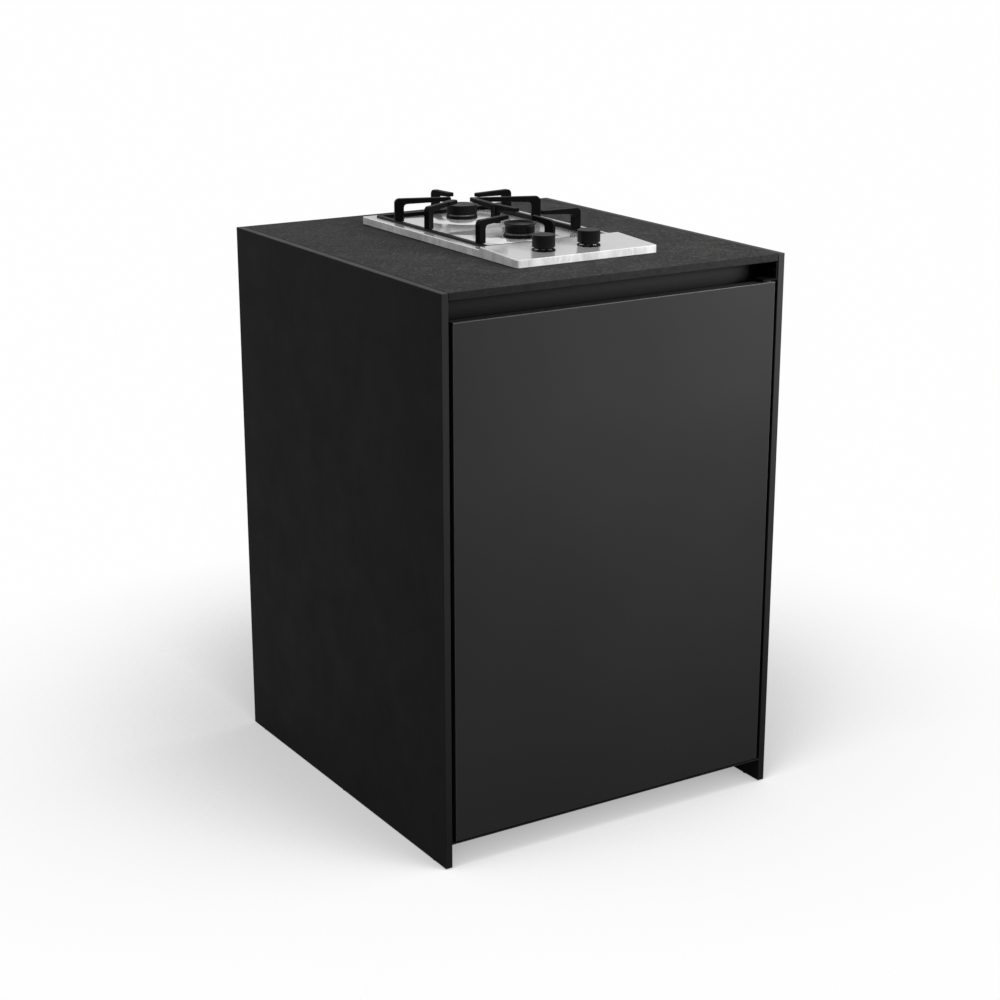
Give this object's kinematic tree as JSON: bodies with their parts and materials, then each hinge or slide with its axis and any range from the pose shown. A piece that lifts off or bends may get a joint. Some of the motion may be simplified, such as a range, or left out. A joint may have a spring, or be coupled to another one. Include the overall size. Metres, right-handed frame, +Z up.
{
  "type": "outdoor kitchen side burner module",
  "caption": "Freestanding dark outdoor kitchen module: stone worktop with an inset gas hob under a cast grate, push-and-turn knobs, and a handleless hinged door over a bottle cupboard.",
  "frame": {"origin": "on the floor, under the middle of the cabinet", "axes": "+Z up, -Y towards the person facing the door, +X to that person's right"},
  "size_m": [0.624, 0.68, 0.952],
  "materials": {
    "laminate": "matt black compact laminate",
    "stone": "dark stone, finely speckled, satin",
    "black_sheet": "matt black powder coating",
    "door_face": "matt black powder coating, even",
    "door_filling": "waterproof board",
    "hob_steel": "fine brushed stainless steel",
    "galvanised": "plain galvanised sheet",
    "screw_steel": "zinc plated",
    "cast_grate": "matt black enamel over a cast grain",
    "cap_enamel": "semi-gloss black enamel",
    "cup_metal": "dark heat-stained casting",
    "crown_metal": "machined, bright",
    "pipe_metal": "drawn tube, satin",
    "jet_brass": "turned",
    "knob_black": "fine satin black",
    "stem_steel": "turned",
    "spring_steel": "drawn wire",
    "rubber": "matt",
    "nylon": "black nylon",
    "magnet": "plain ferrite",
    "spark_ceramic": "white glazed sleeve with a steel tip",
    "module_plastic": "moulded case",
    "lead_sleeve": "silicone sleeve"
  },
  "bodies": {
    "cabinet": {"side_panel_left": "laminate", "side_panel_right": "laminate", "floor_glides": "nylon", "worktop": "stone", "base_tray": "black_sheet", "base_panel": "laminate", "back_panel": "black_sheet", "hose_grommet": "rubber", "front_rail": "black_sheet", "rear_rail": "black_sheet", "grip_channel": "black_sheet", "worktop_cleats": "black_sheet", "corner_brackets": "galvanised", "cabinet_screws": "screw_steel", "shelf": "laminate", "shelf_pins": "screw_steel", "magnet_catch": "nylon", "catch_magnet": "magnet", "door_buffers": "rubber", "hinge_bracket": "black_sheet", "pivot_pins": "stem_steel", "pivot_washers": "nylon", "hob_top": "hob_steel", "hob_seal": "rubber", "hob_underbox": "galvanised", "hob_clamps": "galvanised", "clamp_screws": "screw_steel", "knob_bezels": "knob_black", "injectors": "jet_brass", "igniters": "spark_ceramic", "thermocouples": "stem_steel", "gas_manifold": "pipe_metal", "inlet_elbow": "jet_brass", "ignition_module": "module_plastic", "ignition_leads": "lead_sleeve", "burner_pipe_front": "pipe_metal", "burner_pipe_rear": "pipe_metal", "burner_cups": "cup_metal", "gas_valves": "cup_metal"},
    "door": {"door_skin": "door_face", "door_core": "door_filling", "door_back_sheet": "door_face", "door_bushes": "nylon", "strike_plate": "galvanised"},
    "grate": {"grate": "cast_grate", "grate_feet": "rubber"},
    "burner_crown_front": {"burner_crown_front": "crown_metal"},
    "burner_crown_rear": {"burner_crown_rear": "crown_metal"},
    "burner_cap_front": {"burner_cap_front": "cap_enamel"},
    "burner_cap_rear": {"burner_cap_rear": "cap_enamel"},
    "plunger_left": {"spring_seat_left": "stem_steel", "valve_spring_left": "spring_steel"},
    "knob_left": {"knob_left": "knob_black", "valve_stem_left": "stem_steel"},
    "plunger_right": {"spring_seat_right": "stem_steel", "valve_spring_right": "spring_steel"},
    "knob_right": {"knob_right": "knob_black", "valve_stem_right": "stem_steel"}
  },
  "joints": [
    {"name": "door_hinge", "type": "hinge", "parent": "cabinet", "child": "door", "pos_m": [0.285, -0.33, 0.45], "axis": [0, 0, 1], "range_deg": [0, 105]},
    {"name": "grate_lift", "type": "slide", "parent": "cabinet", "child": "grate", "axis": [0, 0, 1], "range_m": [0, 0.12]},
    {"name": "crown_front_lift", "type": "slide", "parent": "cabinet", "child": "burner_crown_front", "axis": [0, 0, 1], "range_m": [0, 0.045]},
    {"name": "cap_front_lift", "type": "slide", "parent": "burner_crown_front", "child": "burner_cap_front", "axis": [0, 0, 1], "range_m": [0, 0.045]},
    {"name": "crown_rear_lift", "type": "slide", "parent": "cabinet", "child": "burner_crown_rear", "axis": [0, 0, 1], "range_m": [0, 0.045]},
    {"name": "cap_rear_lift", "type": "slide", "parent": "burner_crown_rear", "child": "burner_cap_rear", "axis": [0, 0, 1], "range_m": [0, 0.045]},
    {"name": "knob_left_push", "type": "slide", "parent": "cabinet", "child": "plunger_left", "axis": [0, 0, -1], "range_m": [0, 0.0022], "stiffness_N_per_m": 1500, "springref_m": -0.002, "deforming": ["valve_spring_left"]},
    {"name": "knob_left_turn", "type": "hinge", "parent": "plunger_left", "child": "knob_left", "pos_m": [-0.041, -0.189, 0.937], "axis": [0, 0, 1], "range_deg": [0, 210]},
    {"name": "knob_right_push", "type": "slide", "parent": "cabinet", "child": "plunger_right", "axis": [0, 0, -1], "range_m": [0, 0.0022], "stiffness_N_per_m": 1500, "springref_m": -0.002, "deforming": ["valve_spring_right"]},
    {"name": "knob_right_turn", "type": "hinge", "parent": "plunger_right", "child": "knob_right", "pos_m": [0.043, -0.189, 0.937], "axis": [0, 0, 1], "range_deg": [0, 210]}
  ]
}
